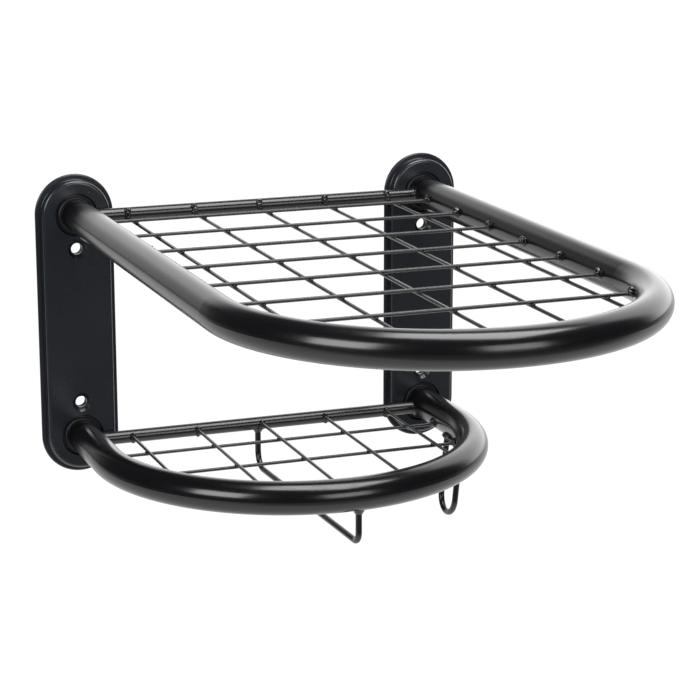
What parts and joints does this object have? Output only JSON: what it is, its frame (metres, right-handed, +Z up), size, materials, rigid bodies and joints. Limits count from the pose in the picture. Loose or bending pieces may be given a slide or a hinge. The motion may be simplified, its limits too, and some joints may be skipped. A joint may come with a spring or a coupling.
{
  "type": "wall-mounted wire shelf rack",
  "caption": "Wall rack of black coated steel: two round-fronted wire shelves, one above the other, with a rail for hangers and a side hook under the lower shelf.",
  "frame": {"origin": "centre of the rectangle of four screw holes, on the plane of the wall that the plates' backs rest on", "axes": "+X to the right along the wall as seen from the room, +Y into the wall, +Z up; the shelves reach out along -Y"},
  "size_m": [0.352, 0.5274, 0.2769],
  "materials": {
    "tube_coating": "semi-gloss black powder coat on bent steel tube",
    "plate_coating": "satin black powder coat on pressed steel sheet",
    "rod_coating": "semi-gloss black powder coat on solid steel rod",
    "wire_coating": "semi-gloss black powder coat on drawn steel wire",
    "weld_coating": "semi-gloss black powder coat over rough weld metal",
    "spacer_coating": "satin black powder coat on a steel ring"
  },
  "bodies": {
    "root": {"left_wall_plate": "plate_coating", "right_wall_plate": "plate_coating", "left_screw_spacers": "spacer_coating", "right_screw_spacers": "spacer_coating", "left_seat_welds": "weld_coating", "right_seat_welds": "weld_coating", "upper_loop_tube": "tube_coating", "lower_loop_tube": "tube_coating", "upper_back_bar": "rod_coating", "lower_back_bar": "rod_coating", "upper_cross_wire_1": "wire_coating", "upper_cross_wire_2": "wire_coating", "upper_cross_wire_3": "wire_coating", "upper_cross_wire_4": "wire_coating", "upper_cross_wire_5": "wire_coating", "upper_cross_wire_6": "wire_coating", "upper_cross_wire_7": "wire_coating", "upper_long_wire_1": "wire_coating", "upper_long_wire_2": "wire_coating", "upper_long_wire_3": "wire_coating", "upper_long_wire_4": "wire_coating", "upper_long_wire_5": "wire_coating", "lower_cross_wire_1": "wire_coating", "lower_cross_wire_2": "wire_coating", "lower_long_wire_1": "wire_coating", "lower_long_wire_2": "wire_coating", "lower_long_wire_3": "wire_coating", "lower_long_wire_4": "wire_coating", "lower_long_wire_5": "wire_coating", "hanger_rail": "rod_coating", "hanger_rail_welds": "weld_coating", "side_hook": "rod_coating"}
  },
  "joints": []
}
